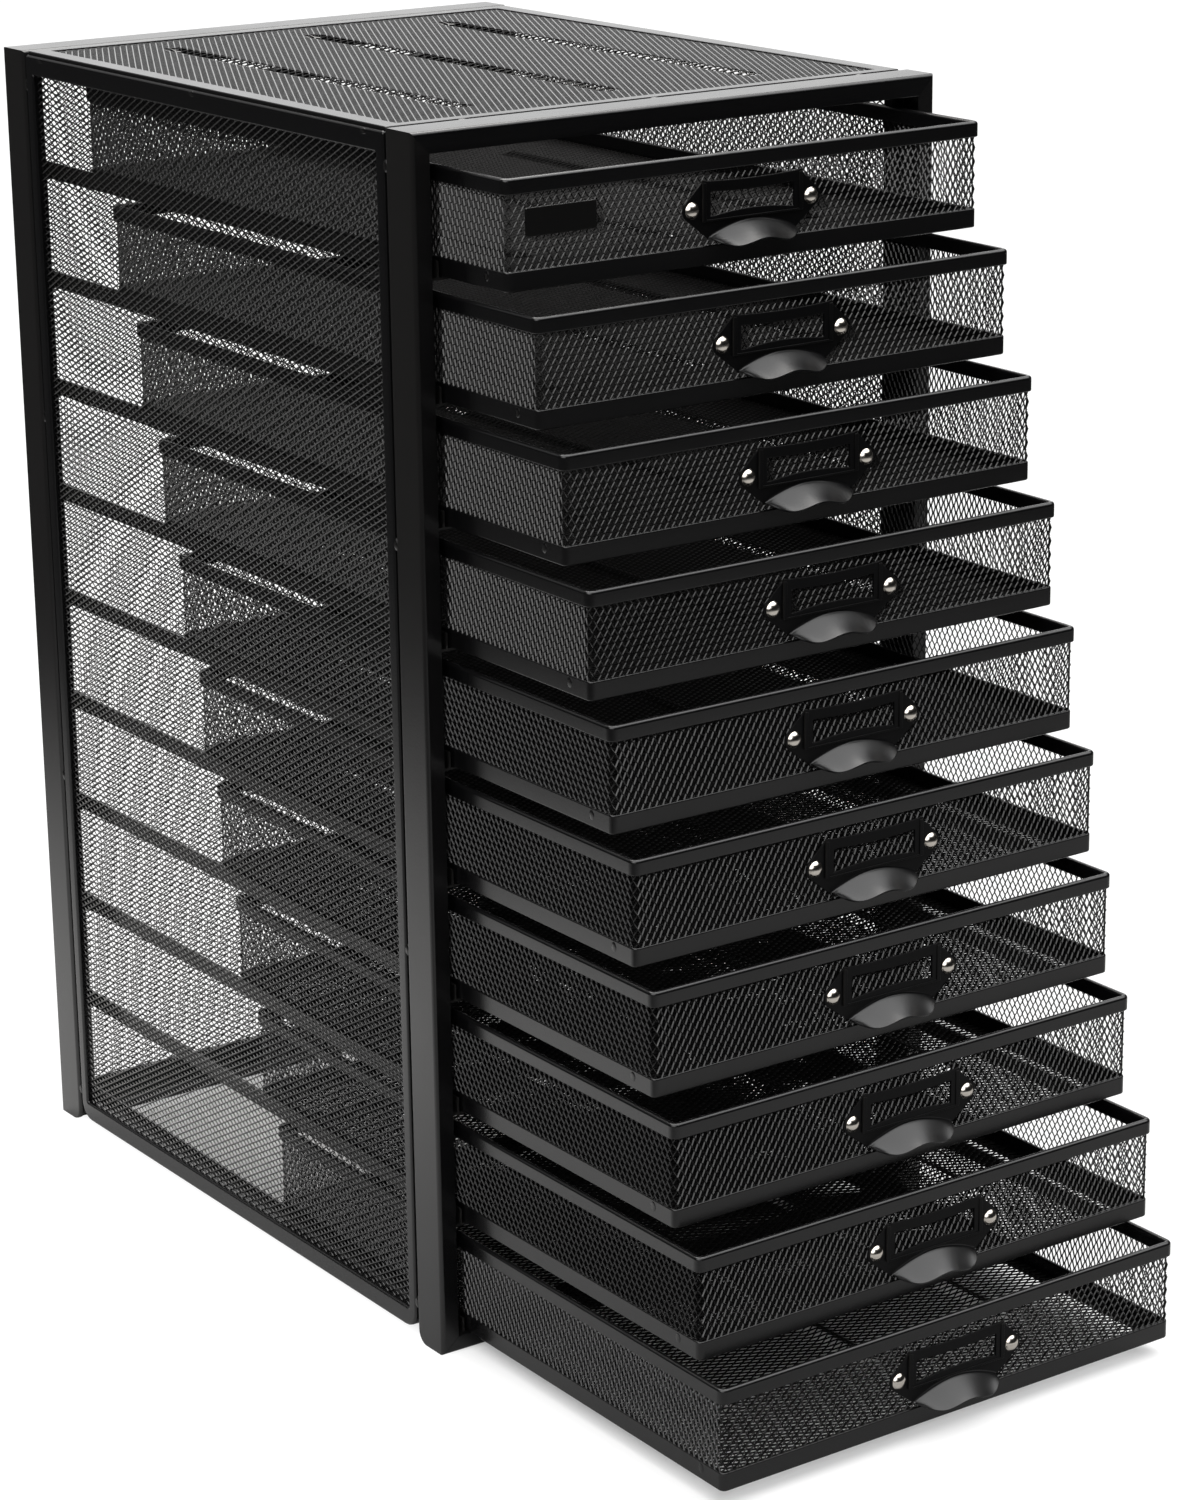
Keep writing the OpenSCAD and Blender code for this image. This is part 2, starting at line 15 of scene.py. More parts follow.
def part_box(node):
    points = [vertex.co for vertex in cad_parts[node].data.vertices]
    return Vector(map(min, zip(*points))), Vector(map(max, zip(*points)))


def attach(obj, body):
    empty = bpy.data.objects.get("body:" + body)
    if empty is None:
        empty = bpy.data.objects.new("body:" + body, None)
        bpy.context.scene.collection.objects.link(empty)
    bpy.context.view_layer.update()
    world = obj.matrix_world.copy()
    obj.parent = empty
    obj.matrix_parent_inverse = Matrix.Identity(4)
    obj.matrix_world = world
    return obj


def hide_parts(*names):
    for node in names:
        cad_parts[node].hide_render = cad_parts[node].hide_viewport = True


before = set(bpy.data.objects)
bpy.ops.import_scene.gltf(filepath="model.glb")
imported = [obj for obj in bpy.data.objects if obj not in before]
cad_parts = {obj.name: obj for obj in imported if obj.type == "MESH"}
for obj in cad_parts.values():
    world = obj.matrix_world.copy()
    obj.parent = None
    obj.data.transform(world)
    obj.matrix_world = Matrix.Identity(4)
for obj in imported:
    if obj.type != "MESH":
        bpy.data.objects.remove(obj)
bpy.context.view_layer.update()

# %% [markdown]
# ## Lengths
# All lengths are in millimetres, as on a workshop drawing, and turn into Blender's
# metres only when a mesh is made. Most are read off the loaded parts, so that the
# dressed pieces lie exactly on them.

# %% Lengths of the cabinet and of one drawer
MM = 0.001


def box_mm(node):
    low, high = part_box(node)
    return np.array(low) / MM, np.array(high) / MM


def size_mm(node):
    low, high = box_mm(node)
    return high - low


post_low, post_high = box_mm("front_left_post")
cab_w, cab_h = -2 * post_low[0], post_high[2]
front_y, back_y = post_low[1], box_mm("back_left_post")[1][1]
post_face, flange_d = size_mm("front_left_post")[:2]
header_h, sill_h = size_mm("front_header")[2], size_mm("front_sill")[2]
drawer_w, drawer_d, drawer_h = size_mm("drawer_01_frame")
print("cabinet %.1f wide, %.1f high; drawer %.1f x %.1f x %.1f mm"
      % (cab_w, cab_h, drawer_w, drawer_d, drawer_h))

# %% [markdown]
# ## Camera
# A product shot of a tall cabinet is taken from a distance with a long lens, which keeps
# its uprights nearly parallel. The camera is turned with three directions instead of
# angles: where it looks, its right and its up.

# %% The camera
def add_object(name, data):
    thing = bpy.data.objects.new(name, data)
    bpy.context.scene.collection.objects.link(thing)
    return thing


look = Vector((0.54469, 0.78470, -0.29590)).normalized()
right = look.cross(Vector((0.18003, 0.23520, 0.95513))).normalized()
up = right.cross(look)
camera_data = bpy.data.cameras.new("shop_camera")
camera_data.lens = 96.17
camera_data.sensor_width = 36
camera_data.sensor_fit = "AUTO"
camera = add_object("shop_camera", camera_data)
camera.matrix_world = Matrix((
    (right.x, up.x, -look.x, -0.97187),
    (right.y, up.y, -look.y, -1.40301),
    (right.z, up.z, -look.z, 0.75724),
    (0, 0, 0, 1)))
bpy.context.scene.camera = camera
print("camera at", [round(v, 3) for v in camera.matrix_world.translation])

# %% [markdown]
# ## Floor and light
# The cabinet stands on a white table, before a white background. Black gloss shows little
# of its own colour: it shows what it mirrors. So the room matters more than the lamps. Seen
# straight, the table is white. In reflections, and as a source of light, its colour carries
# painted light: a painted falloff from half white beside the cabinet to nearly black a metre
# away, and one dim painted pool of light at the front on the right. Under the cabinet the
# table keeps its real shade.

# %% Helpers for nodes
def paint_nodes(owner):
    owner.use_nodes = True
    tree = owner.node_tree
    tree.nodes.clear()
    return tree


def add_node(tree, kind, inputs=(), **settings):
    """A node with its settings, its inputs linked to sockets or set to plain values."""
    node = tree.nodes.new(kind)
    for name, value in settings.items():
        setattr(node, name, value)
    for name, value in dict(inputs).items():
        if isinstance(value, bpy.types.NodeSocket):
            tree.links.new(value, node.inputs[name])
        else:
            node.inputs[name].default_value = value
    return node


def mix_floats(tree, a, b, factor):
    return add_node(tree, "ShaderNodeMix", {0: factor, 2: a, 3: b}).outputs[0]


def do_math(tree, operation, a, b=0.0):
    return add_node(tree, "ShaderNodeMath", {0: a, 1: b}, operation=operation).outputs[0]


def map_range(tree, value, start, stop, low=0.0, high=1.0, curve="LINEAR"):
    return add_node(tree, "ShaderNodeMapRange", {
        "Value": value, "From Min": start, "From Max": stop, "To Min": low, "To Max": high},
        interpolation_type=curve).outputs[0]


print("node helpers ready")

# %% The white table
table_half, table_z = 30.0, -0.0002
table_mesh = bpy.data.meshes.new("white_table")
table_mesh.from_pydata([(x * table_half, y * table_half, table_z)
                        for x, y in ((-1, -1), (1, -1), (1, 1), (-1, 1))], [], [(0, 1, 2, 3)])
table = add_object("white_table", table_mesh)
table_paint = bpy.data.materials.new("table_white")
tree = paint_nodes(table_paint)
place = add_node(tree, "ShaderNodeNewGeometry").outputs["Position"]
seen = add_node(tree, "ShaderNodeLightPath").outputs["Is Camera Ray"]
spot = add_node(tree, "ShaderNodeSeparateXYZ", {"Vector": place})
spread = add_node(tree, "ShaderNodeVectorMath", {0: place}, operation="LENGTH")
apart = add_node(tree, "ShaderNodeVectorMath", {0: place, 1: (0.2, -0.55, 0)},
                 operation="DISTANCE")
# Painted light in the table's colour, seen only in reflections and bounced light: a painted falloff
# with distance and a painted pool of light at the front right.
fade = map_range(tree, spread.outputs["Value"], 0.30, 1.25, 0.58, 0.012, "SMOOTHSTEP")
ahead = map_range(tree, spot.outputs["Y"], -0.35, -0.05, 0.4)
painted_light_pool = map_range(tree, apart.outputs["Value"], 0.30, 1.30, 0.26, 0.03, "SMOOTHSTEP")
painted_falloff = do_math(tree, "MAXIMUM", do_math(tree, "MULTIPLY", fade, ahead), painted_light_pool)
tone = mix_floats(tree, painted_falloff, 0.8, seen)
white = add_node(tree, "ShaderNodeCombineColor", {"Red": tone, "Green": tone, "Blue": tone})
beside, beyond = [map_range(tree, do_math(tree, "ABSOLUTE", spot.outputs[axis]),
                            half * MM - 0.03, half * MM - 0.003)
                  for axis, half in (("X", cab_w / 2), ("Y", back_y))]
clear = do_math(tree, "MULTIPLY", do_math(tree, "MAXIMUM", beside, beyond), 0.9)
cloth = add_node(tree, "ShaderNodeBsdfDiffuse", {"Color": white.outputs[0]})
glow = add_node(tree, "ShaderNodeEmission", {"Color": (1, 1, 1, 1), "Strength": 1.1})
both = add_node(tree, "ShaderNodeMixShader", {
    0: do_math(tree, "MULTIPLY", seen, clear), 1: cloth.outputs[0], 2: glow.outputs[0]})
add_node(tree, "ShaderNodeOutputMaterial", {"Surface": both.outputs[0]})
table_mesh.materials.append(table_paint)
print("table laid")

# %% [markdown]
# The sky of this little studio is nearly black, so the fronts read as black, with four soft
# round glows in it. A white one stands behind the cabinet and a dim one over that, a strong
# one overhead makes the upper faces shine, and a narrow one at the left front draws the
# bright strokes on the drawers' mesh. A direction in the sky is enough to paint each.

# %% The studio's sky
world = bpy.data.worlds.new("studio_sky")
bpy.context.scene.world = world
tree = paint_nodes(world)
direction = add_node(tree, "ShaderNodeTexCoord").outputs["Generated"]


def glow_towards(aim, start, full, strength):
    """A soft round glow in the sky round one direction."""
    near = add_node(tree, "ShaderNodeVectorMath", {0: direction, 1: Vector(aim).normalized()},
                    operation="DOT_PRODUCT")
    return map_range(tree, near.outputs["Value"], start, full, 0.0, strength, "SMOOTHSTEP")


sky = 0.012
for aim, start, full, strength in (((0.575, 0.784, 0.20), 0.90, 0.98, 1.35),
                                   ((-0.17, 0.88, 0.44), 0.88, 0.97, 0.4),
                                   ((0.15, 0.0, 0.95), 0.64, 0.86, 3.4),
                                   ((-0.70, -0.45, 0.60), 0.84, 0.96, 2.4)):
    sky = do_math(tree, "MAXIMUM", glow_towards(aim, start, full, strength), sky)
seen = add_node(tree, "ShaderNodeLightPath").outputs["Is Camera Ray"]
shine = add_node(tree, "ShaderNodeBackground", {
    "Color": (1.0, 1.0, 1.0, 1), "Strength": mix_floats(tree, sky, 1.0, seen)})
add_node(tree, "ShaderNodeOutputWorld", {"Surface": shine.outputs[0]})
bpy.context.scene.view_settings.view_transform = "Standard"
print("sky painted")

# %% [markdown]
# Two large soft boxes are the lamps: a weak one high on the left, which fills the sides,
# and a strong one above and behind, for the upper faces.

# %% Two soft boxes
def soft_box(name, place, aim, width, height, power, tint):
    lamp = bpy.data.lights.new(name, "AREA")
    lamp.shape = "RECTANGLE"
    lamp.size, lamp.size_y = width, height
    lamp.energy = power
    lamp.color = tint
    box = add_object(name, lamp)
    box.location = place
    box.rotation_euler = (Vector(aim) - Vector(place)).to_track_quat("-Z", "Y").to_euler()
    box.visible_camera = False


soft_box("left_soft_box", (-1.9, -0.6, 2.0), (0, 0, 0.3), 1.4, 1.4, 7, (1.0, 0.98, 0.95))
soft_box("top_soft_box", (0.3, 0.9, 2.4), (0, 0, 0.4), 2.0, 1.6, 50, (1.0, 0.97, 0.93))

# %% [markdown]
# ## Mesh helpers
# Every piece is made the same way: a list of points in millimetres, a list of faces, a
# body to ride on and a paint. The helpers below do the bookkeeping, so that the cells
# after them only talk about shapes. Pieces that repeat on the ten drawers share one mesh.

# %% From points to a riding piece
def even_normals(mesh, crease=40):
    """Corner normals weighted by area, so that only fillets are shaded round."""
    loops, faces = len(mesh.loops), len(mesh.polygons)
    corner, face_of = np.empty(loops, np.int32), np.empty(faces, np.int32)
    normal, area = np.empty(faces * 3), np.empty(faces)
    mesh.loops.foreach_get("vertex_index", corner)
    mesh.polygons.foreach_get("loop_total", face_of)
    mesh.polygons.foreach_get("normal", normal)
    mesh.polygons.foreach_get("area", area)
    normal, face_of = normal.reshape(-1, 3), np.repeat(np.arange(faces), face_of)
    order = np.argsort(corner, kind="stable")
    first = np.searchsorted(corner[order], np.arange(len(mesh.vertices) + 1))
    many = np.diff(first).max()
    slots = first[corner][:, None] + np.arange(many)
    there = slots < first[corner + 1][:, None]
    near = face_of[order[np.minimum(slots, loops - 1)]]
    alike = (normal[near] * normal[face_of][:, None]).sum(-1) > math.cos(math.radians(crease))
    weight = np.where(there & alike, area[near], 0.0)
    mixed = (normal[near] * weight[..., None]).sum(1)
    mixed /= np.maximum(np.linalg.norm(mixed, axis=1, keepdims=True), 1e-12)
    mesh.normals_split_custom_set(mixed.tolist())


def quad_mesh(name, points, quads, faces=(), flat=False):
    mesh = bpy.data.meshes.new(name)
    points = np.asarray(points, float)
    quads = np.asarray(quads, np.int32).reshape(-1, 4)
    loops = np.concatenate([quads.ravel()] + [np.asarray(f, np.int32) for f in faces])
    sizes = [4] * len(quads) + [len(f) for f in faces]
    starts = np.cumsum([0] + sizes[:-1]).astype(np.int32)
    mesh.vertices.add(len(points))
    mesh.vertices.foreach_set("co", (points * MM).astype(np.float32).ravel())
    mesh.loops.add(len(loops))
    mesh.loops.foreach_set("vertex_index", loops)
    mesh.polygons.add(len(starts))
    mesh.polygons.foreach_set("loop_start", starts)
    mesh.update(calc_edges=True)
    mesh.polygons.foreach_set("use_smooth", np.full(len(starts), not flat))
    if not flat:
        even_normals(mesh)
    return mesh


def painted(mesh, paint):
    mesh.materials.append(paint)
    return mesh


def add_piece(name, mesh, body, node, offset=(0, 0, 0)):
    """An object that rides on a body and takes the place of a measured node."""
    piece = add_object(name, mesh)
    piece.location = Vector(offset) * MM
    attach(piece, body)
    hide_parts(node)


print("%.0f mm on the drawing make a metre in the scene" % (1 / MM))

# %% Outlines and sweeps
def grid_quads(rows, columns, close_rows=False, close_columns=False):
    """Quads over a grid of rows x columns points, row after row."""
    r = np.arange(rows if close_rows else rows - 1)
    c = np.arange(columns if close_columns else columns - 1)
    r, c = [g.ravel() for g in np.meshgrid(r, c, indexing="ij")]
    r2, c2 = (r + 1) % rows, (c + 1) % columns
    return np.stack([r * columns + c, r * columns + c2, r2 * columns + c2, r2 * columns + c], 1)


def fillet(corners, steps=4):
    """Closed outline from (x, y, radius) corners, each corner rounded."""
    out = []
    count = len(corners)
    for k, (x, y, radius) in enumerate(corners):
        here = np.array([x, y], float)
        before = np.array(corners[k - 1][:2], float) - here
        after = np.array(corners[(k + 1) % count][:2], float) - here
        before, after = before / np.linalg.norm(before), after / np.linalg.norm(after)
        half = math.acos(np.clip(before @ after, -1, 1)) / 2
        run = radius / math.tan(half)
        middle = here + (before + after) / np.linalg.norm(before + after) * radius / math.sin(half)
        first, last = here + before * run, here + after * run
        a0 = math.atan2(*(first - middle)[::-1])
        turn = (math.atan2(*(last - middle)[::-1]) - a0 + math.pi) % (2 * math.pi) - math.pi
        out += [middle + radius * np.array([math.cos(a0 + turn * t / steps),
                                            math.sin(a0 + turn * t / steps)])
                for t in range(steps + 1)]
    return np.array(out)


def outline_stations(left, low, right, high, radii, steps=6):
    """Counter-clockwise stations. radii: low right, high right, high left, low left."""
    turn = np.radians(np.linspace(0, 90, steps + 1))
    out = []
    for (x, y), radius, (sx, sy), start in zip(
            ((right, low), (right, high), (left, high), (left, low)), radii,
            ((-1, 1), (-1, -1), (1, -1), (1, 1)), (-90, 0, 90, 180)):
        t = turn + math.radians(start)
        out.append(np.stack([x + sx * radius + radius * np.cos(t),
                             y + sy * radius + radius * np.sin(t)], 1))
    return np.concatenate(out)


def ring_sweep(width, depth, radius, section):
    """Sweeps a closed (inset, height) section round a box whose front side is at y = 0."""
    rows = []
    for inset, height in section:
        path = outline_stations(inset - width / 2, inset, width / 2 - inset, depth - inset,
                                (max(radius - inset, 0.3),) * 4, 8)
        rows.append(np.column_stack([path, np.full(len(path), height)]))
    return np.concatenate(rows), grid_quads(len(rows), len(path), True, True)[:, ::-1]


corner_points = len(fillet([(0, 0, 2), (9, 0, 2), (9, 9, 2), (0, 9, 2)]))
print("a square with round corners takes", corner_points, "points")

# %% [markdown]
# ## Expanded steel mesh
# Expanded mesh isn't woven. A press cuts rows of short slits into a sheet and pulls it, so
# the slits open into diamonds, the strands between them twist, and each crossing stays one
# solid knuckle. A picture of diamonds on a flat sheet would fail at the edges and in the
# glints, and a wireframe would give round wires. So each diamond is built as a real
# hole: its four corners are points, the strands are quads between two neighbouring holes,
# and the corner that the press lifted stands higher, which gives every strand its slant.

# %% One stretched sheet
strand_share = 0.83         # a hole's size, as a share of its diamond
mesh_sheet_t = 0.5
strand_rise = 0.64          # a lift of this much leans the strands by 45 degrees


def expanded_sheet(columns, rows, short, long, lift, closed=False, share=strand_share):
    """Corner points (short way, long way, height) and front quads of a stretched sheet."""
    wide = columns if closed else columns + 2
    j, i = np.meshgrid(np.arange(-1, rows + 1), np.arange(wide), indexing="ij")
    centre = np.stack([(i + 0.5 * (j % 2)) * short, j * long / 2, np.zeros(i.shape)], -1)
    reach_s, reach_l = share * short / 2, share * long / 2
    corner = np.array([(reach_s, 0, lift), (0, reach_l, 0), (-reach_s, 0, -lift), (0, -reach_l, 0)])
    points = (centre[:, :, None, :] + corner).reshape(-1, 3)

    def corner_id(row, column, k):
        return ((row + 1) * wide + column % wide) * 4 + k

    j, i = [g.ravel() for g in np.meshgrid(np.arange(rows), np.arange(columns), indexing="ij")]
    step = i + j % 2
    east, north, south = corner_id(j, i, 0), corner_id(j, i, 1), corner_id(j, i, 3)
    upper_s, upper_w = corner_id(j + 1, step, 3), corner_id(j + 1, step, 2)
    lower_w, lower_n = corner_id(j - 1, step, 2), corner_id(j - 1, step, 1)
    quads = np.concatenate([
        np.stack([east, upper_s, upper_w, north], 1),
        np.stack([south, lower_w, lower_n, east], 1),
        np.stack([east, lower_n, corner_id(j, i + 1, 2), upper_s], 1)])
    return points, quads


print("the sheet's diamonds are %.0f %% open" % (100 * strand_share ** 2))

# %% Strands with a thickness
def thicken(points, normals, short_way, quads, lift, thickness=mesh_sheet_t):
    """Front, back and the cut edges round every hole, as one closed solid.

    The strands lean, so the thickness runs square to the leaning strands.
    """
    used, quads = np.unique(quads, return_inverse=True)
    quads = quads.reshape(-1, 4)
    lean = math.atan(lift / strand_rise)
    normals = normals * math.cos(lean) + short_way * math.sin(lean)
    points, normals = points[used], normals[used]
    count = len(points)
    edges = np.stack([quads, np.roll(quads, -1, 1)], -1).reshape(-1, 2)
    key = edges.min(1) * count + edges.max(1)
    _, where, times = np.unique(key, return_index=True, return_counts=True)
    rim = edges[where[times == 1]]
    walls = np.stack([rim[:, 0], rim[:, 0] + count, rim[:, 1] + count, rim[:, 1]], 1)
    solid = np.concatenate([quads, quads[:, ::-1] + count, walls])
    return np.concatenate([points + normals * thickness / 2,
                           points - normals * thickness / 2]), solid


def flat_map(mesh, flat_points):
    """A plain map for baking: fronts on the left half, backs on the right half."""
    low, high = flat_points.min(0), flat_points.max(0)
    uv = (flat_points - low) / (high - low)
    uv = np.concatenate([uv * [0.5, 1], uv * [0.5, 1] + [0.5, 0]])
    layer = mesh.uv_layers.new(name="OFBake")
    index = np.empty(len(mesh.loops), np.int32)
    mesh.loops.foreach_get("vertex_index", index)
    layer.data.foreach_set("uv", uv[index].astype(np.float32).ravel())


def strands(name, points, quads, spot, normals, short_way, lift):
    """Thickens a placed sheet and makes it a mesh with a map."""
    used = np.unique(quads)
    mesh = quad_mesh(name, *thicken(spot, normals, short_way, quads, lift), flat=True)
    flat_map(mesh, points[used][:, :2])
    return mesh


def mesh_sheet(name, columns, rows, short, long, lift, place, keep=None):
    """Builds a sheet. place turns (short way, long way) into points and normals."""
    points, quads = expanded_sheet(columns, rows, short, long, lift)
    if keep is not None:
        quads = quads[keep(points[quads].mean(1))]
    spot, normals = place(points)
    nudge = 0.01
    short_way = (place(points + [nudge, 0, 0])[0] - spot) / nudge
    return strands(name, points, quads, spot, normals, short_way, lift)


print("a hundred diamonds take", len(expanded_sheet(10, 10, 3, 6, 0)[1]), "quads in front")

# %% [markdown]
# ## Powder coat
# Nearly everything here is powder coated: melted plastic powder that flows into a skin with
# a faint orange peel, a little thinner and glossier on edges, and with some dust on what
# faces up. Several paints need that, so it becomes a node group with its own inputs. The
# group only hands out a colour, a roughness and a height: the shader stays in each paint.

# %% The powder coat group
def noise(tree, vector, scale, detail, roughness=0.5):
    return add_node(tree, "ShaderNodeTexNoise", {
        "Vector": vector, "Scale": scale, "Detail": detail, "Roughness": roughness}).outputs["Fac"]


powder_coat = group = bpy.data.node_groups.new("powder_coat_skin", "ShaderNodeTree")
for way, sockets in (("INPUT", ("Coat Color", "Dust Color", "Dust", "Grain Size", "Rough Low",
                                "Rough High", "Edge Wear")),
                     ("OUTPUT", ("Color", "Roughness", "Height"))):
    for socket in sockets:
        kind = "NodeSocketColor" if socket.endswith("Color") else "NodeSocketFloat"
        group.interface.new_socket(name=socket, in_out=way, socket_type=kind)
given, result = group.nodes.new("NodeGroupInput"), group.nodes.new("NodeGroupOutput")
coords = add_node(group, "ShaderNodeTexCoord")
own = add_node(group, "ShaderNodeObjectInfo")
surface = add_node(group, "ShaderNodeNewGeometry")
facing = add_node(group, "ShaderNodeSeparateXYZ", {"Vector": surface.outputs["Normal"]})
shift = add_node(group, "ShaderNodeVectorMath", {
    0: coords.outputs["Object"], 1: own.outputs["Random"]}, operation="ADD").outputs[0]
grain = noise(group, shift, given.outputs["Grain Size"], 2.0, 0.55)
cloud = noise(group, shift, 22.0, 5.0, 0.6)
speck = map_range(group, noise(group, shift, 2600.0, 1.0), 0.66, 0.74)
upward = map_range(group, facing.outputs["Z"], 0.2, 1.0)
dusty = do_math(group, "ADD", do_math(group, "MULTIPLY", upward, cloud),
                do_math(group, "MULTIPLY", speck, 0.5))
dusty = do_math(group, "MULTIPLY", dusty, given.outputs["Dust"])
worn = do_math(group, "MULTIPLY", map_range(group, surface.outputs["Pointiness"], 0.52, 0.62),
               given.outputs["Edge Wear"])
pale = do_math(group, "MAXIMUM", dusty, do_math(group, "MULTIPLY", worn, 0.25))
shade = add_node(group, "ShaderNodeMix", {
    0: pale, 6: given.outputs["Coat Color"], 7: given.outputs["Dust Color"]}, data_type="RGBA")
rough = mix_floats(group, given.outputs["Rough Low"], given.outputs["Rough High"], cloud)
rough = do_math(group, "ADD", rough, do_math(group, "MULTIPLY", dusty, 0.5))
rough = do_math(group, "SUBTRACT", rough, do_math(group, "MULTIPLY", worn, 0.08))
for socket, value in (("Color", shade.outputs[2]), ("Roughness", rough), ("Height", grain)):
    group.links.new(value, result.inputs[socket])
print("group inputs:", [s.name for s in given.outputs if s.name])

# %% [markdown]
# Each paint places the group with its own values. What is the same all over a paint, such
# as its gloss level, is set on the shader itself. The mesh is a little glossier than the
# frames, and the label frames are duller. The drawers' floor mesh has almost no gloss: this
# is painted shade, which keeps the floors dark as if the drawers and cabinet shaded them.

# %% The black paints
def powder_paint(name, coat, dust, grain_size, rough, wear, bump, level=0.5):
    """A powder coat. rough is (lowest, highest), bump the grain's height in metres."""
    paint = bpy.data.materials.new(name)
    tree = paint_nodes(paint)
    skin = add_node(tree, "ShaderNodeGroup", {
        "Coat Color": (*coat, 1), "Dust Color": (0.10, 0.095, 0.088, 1), "Dust": dust,
        "Grain Size": grain_size, "Rough Low": rough[0], "Rough High": rough[1],
        "Edge Wear": wear},
        node_tree=powder_coat).outputs
    bumps = add_node(tree, "ShaderNodeBump", {
        "Height": skin["Height"], "Strength": 0.6, "Distance": bump})
    steel = add_node(tree, "ShaderNodeBsdfPrincipled", {
        "Base Color": skin["Color"], "Roughness": skin["Roughness"],
        "Normal": bumps.outputs[0], "Specular IOR Level": level, "IOR": 1.5})
    add_node(tree, "ShaderNodeOutputMaterial", {"Surface": steel.outputs[0]})
    return paint


deep, soft = (0.0022, 0.0022, 0.0025), (0.0026, 0.0026, 0.003)
frame_black = powder_paint("frame_powder_coat", deep, 0.03, 900, (0.18, 0.28), 0.4, 3e-5)
mesh_black = powder_paint("mesh_powder_coat", deep, 0.03, 1400, (0.12, 0.20), 0.3, 3e-5)
# Painted shade: the drawers' floor mesh gets almost no gloss, so it stays as dark as a floor in
# shade.
floor_shade_black = powder_paint("mesh_floor_coat", deep, 0.03, 1400, (0.30, 0.40), 0.3, 3e-5, 0.03)
frame_dull = powder_paint("label_frame_coat", deep, 0.03, 1600, (0.30, 0.40), 0.4, 2e-5, 0.12)
pull_black = powder_paint("pull_satin_coat", soft, 0.03, 1600, (0.24, 0.34), 0.4, 2e-5)
print("paints:", [m.name for m in bpy.data.materials])

# %% [markdown]
# The rivets are nickel plated, a warm mirror with faint smears from the press. The little
# plate on the top drawer is bare black gloss with a fine grain.

# %% Nickel and gloss
rivet_nickel = bpy.data.materials.new("rivet_nickel")
tree = paint_nodes(rivet_nickel)
smear = noise(tree, add_node(tree, "ShaderNodeTexCoord").outputs["Object"], 500.0, 3.0)
tone = add_node(tree, "ShaderNodeValToRGB", {"Fac": smear})
tone.color_ramp.elements[0].color = (0.66, 0.60, 0.53, 1)
tone.color_ramp.elements[1].color = (0.82, 0.78, 0.72, 1)
plating = add_node(tree, "ShaderNodeBsdfPrincipled", {
    "Base Color": tone.outputs[0], "Metallic": 1.0,
    "Roughness": map_range(tree, smear, 0.0, 1.0, 0.10, 0.22)})
add_node(tree, "ShaderNodeOutputMaterial", {"Surface": plating.outputs[0]})
plate_black = powder_paint("plate_gloss", (0.002,) * 3, 0.02, 2500, (0.14, 0.22), 0.3, 8e-6)
print("paints:", len(bpy.data.materials))

# %% [markdown]
# ## The portal frames
# Two portal frames of folded channel stand at the front and at the back. Each has two
# posts, a header and a sill, mitred at the corners. A channel is a thin outline with round
# bends, so it is lofted: the same outline is repeated along the member, and its ends
# follow the mitre line, which leaves the fine seam that a welded corner shows.

# %% Channels with mitred ends
bend_r, tight_bend, cut_r, foot_r = 1.8, 0.8, 0.35, 6.0
lip_w, steel_t, mitre_seam = 6.0, 1.0, 0.08


def loft(rows):
    """Closed outlines in rows, capped at both ends, as points, quads and other faces."""
    rows = np.asarray(rows)
    count, around = rows.shape[:2]
    first = np.arange(around)
    return (rows.reshape(-1, 3), grid_quads(count, around, False, True),
            [first[::-1], first + (count - 1) * around])


def inside_out(points, quads, faces):
    return points, quads[:, ::-1], [face[::-1] for face in faces]


def channel_outline(face):
    """(across the face, depth) outline of a folded channel."""
    inner = flange_d - steel_t
    return fillet([(0, 0, bend_r), (face, 0, cut_r), (face, steel_t, cut_r),
                   (steel_t, steel_t, tight_bend), (steel_t, inner, tight_bend),
                   (lip_w, inner, cut_r), (lip_w, flange_d, cut_r), (0, flange_d, bend_r)])


def foot_depth(height):
    drop = np.clip(foot_r - height, 0, foot_r)
    return flange_d - foot_r + np.sqrt(foot_r ** 2 - drop ** 2)


def squeeze(depth, deepest):
    """Moves what lies deep in the channel forward, so that its corner is round."""
    kept = 3
    return np.where(depth > kept,
                    kept + (depth - kept) * (deepest - kept) / (flange_d - kept), depth)


def post_rows():
    """Rows lie close together at the round foot, and the last one is at the header."""
    outline = channel_outline(post_face)
    across, depth = outline[:, 0], outline[:, 1]
    low = sill_h * across / post_face + mitre_seam
    high = cab_h - header_h * across / post_face - mitre_seam
    rows = []
    for share in np.concatenate([np.linspace(0, 1, 9) ** 1.4 * 0.5, [1]]):
        height = low + share * (foot_r * 2.2 - low) if share < 1 else high
        rows.append(np.stack([-cab_w / 2 + across, squeeze(depth, foot_depth(height)), height], 1))
    return rows


def beam_rows(face, stations, base, rise):
    """A header or sill, from (share of its half length, depth of its channel) stations."""
    outline = channel_outline(face)
    across, depth = outline[:, 0], outline[:, 1]
    reach = cab_w / 2 - post_face * across / face - mitre_seam
    return [np.stack([share * reach, squeeze(depth, deepest), base + rise * across], 1)
            for share, deepest in stations]


def mirrored(points, quads, faces, flip_x, flip_y):
    points = points * [-1 if flip_x else 1, 1, 1]
    if flip_y:
        points[:, 1] = back_y - front_y - points[:, 1]
    return inside_out(points, quads, faces) if flip_x != flip_y else (points, quads, faces)


def hang_steel(name, solid, node):
    mesh = painted(quad_mesh(name, *solid), frame_black)
    add_piece(name, mesh, "cabinet", node)


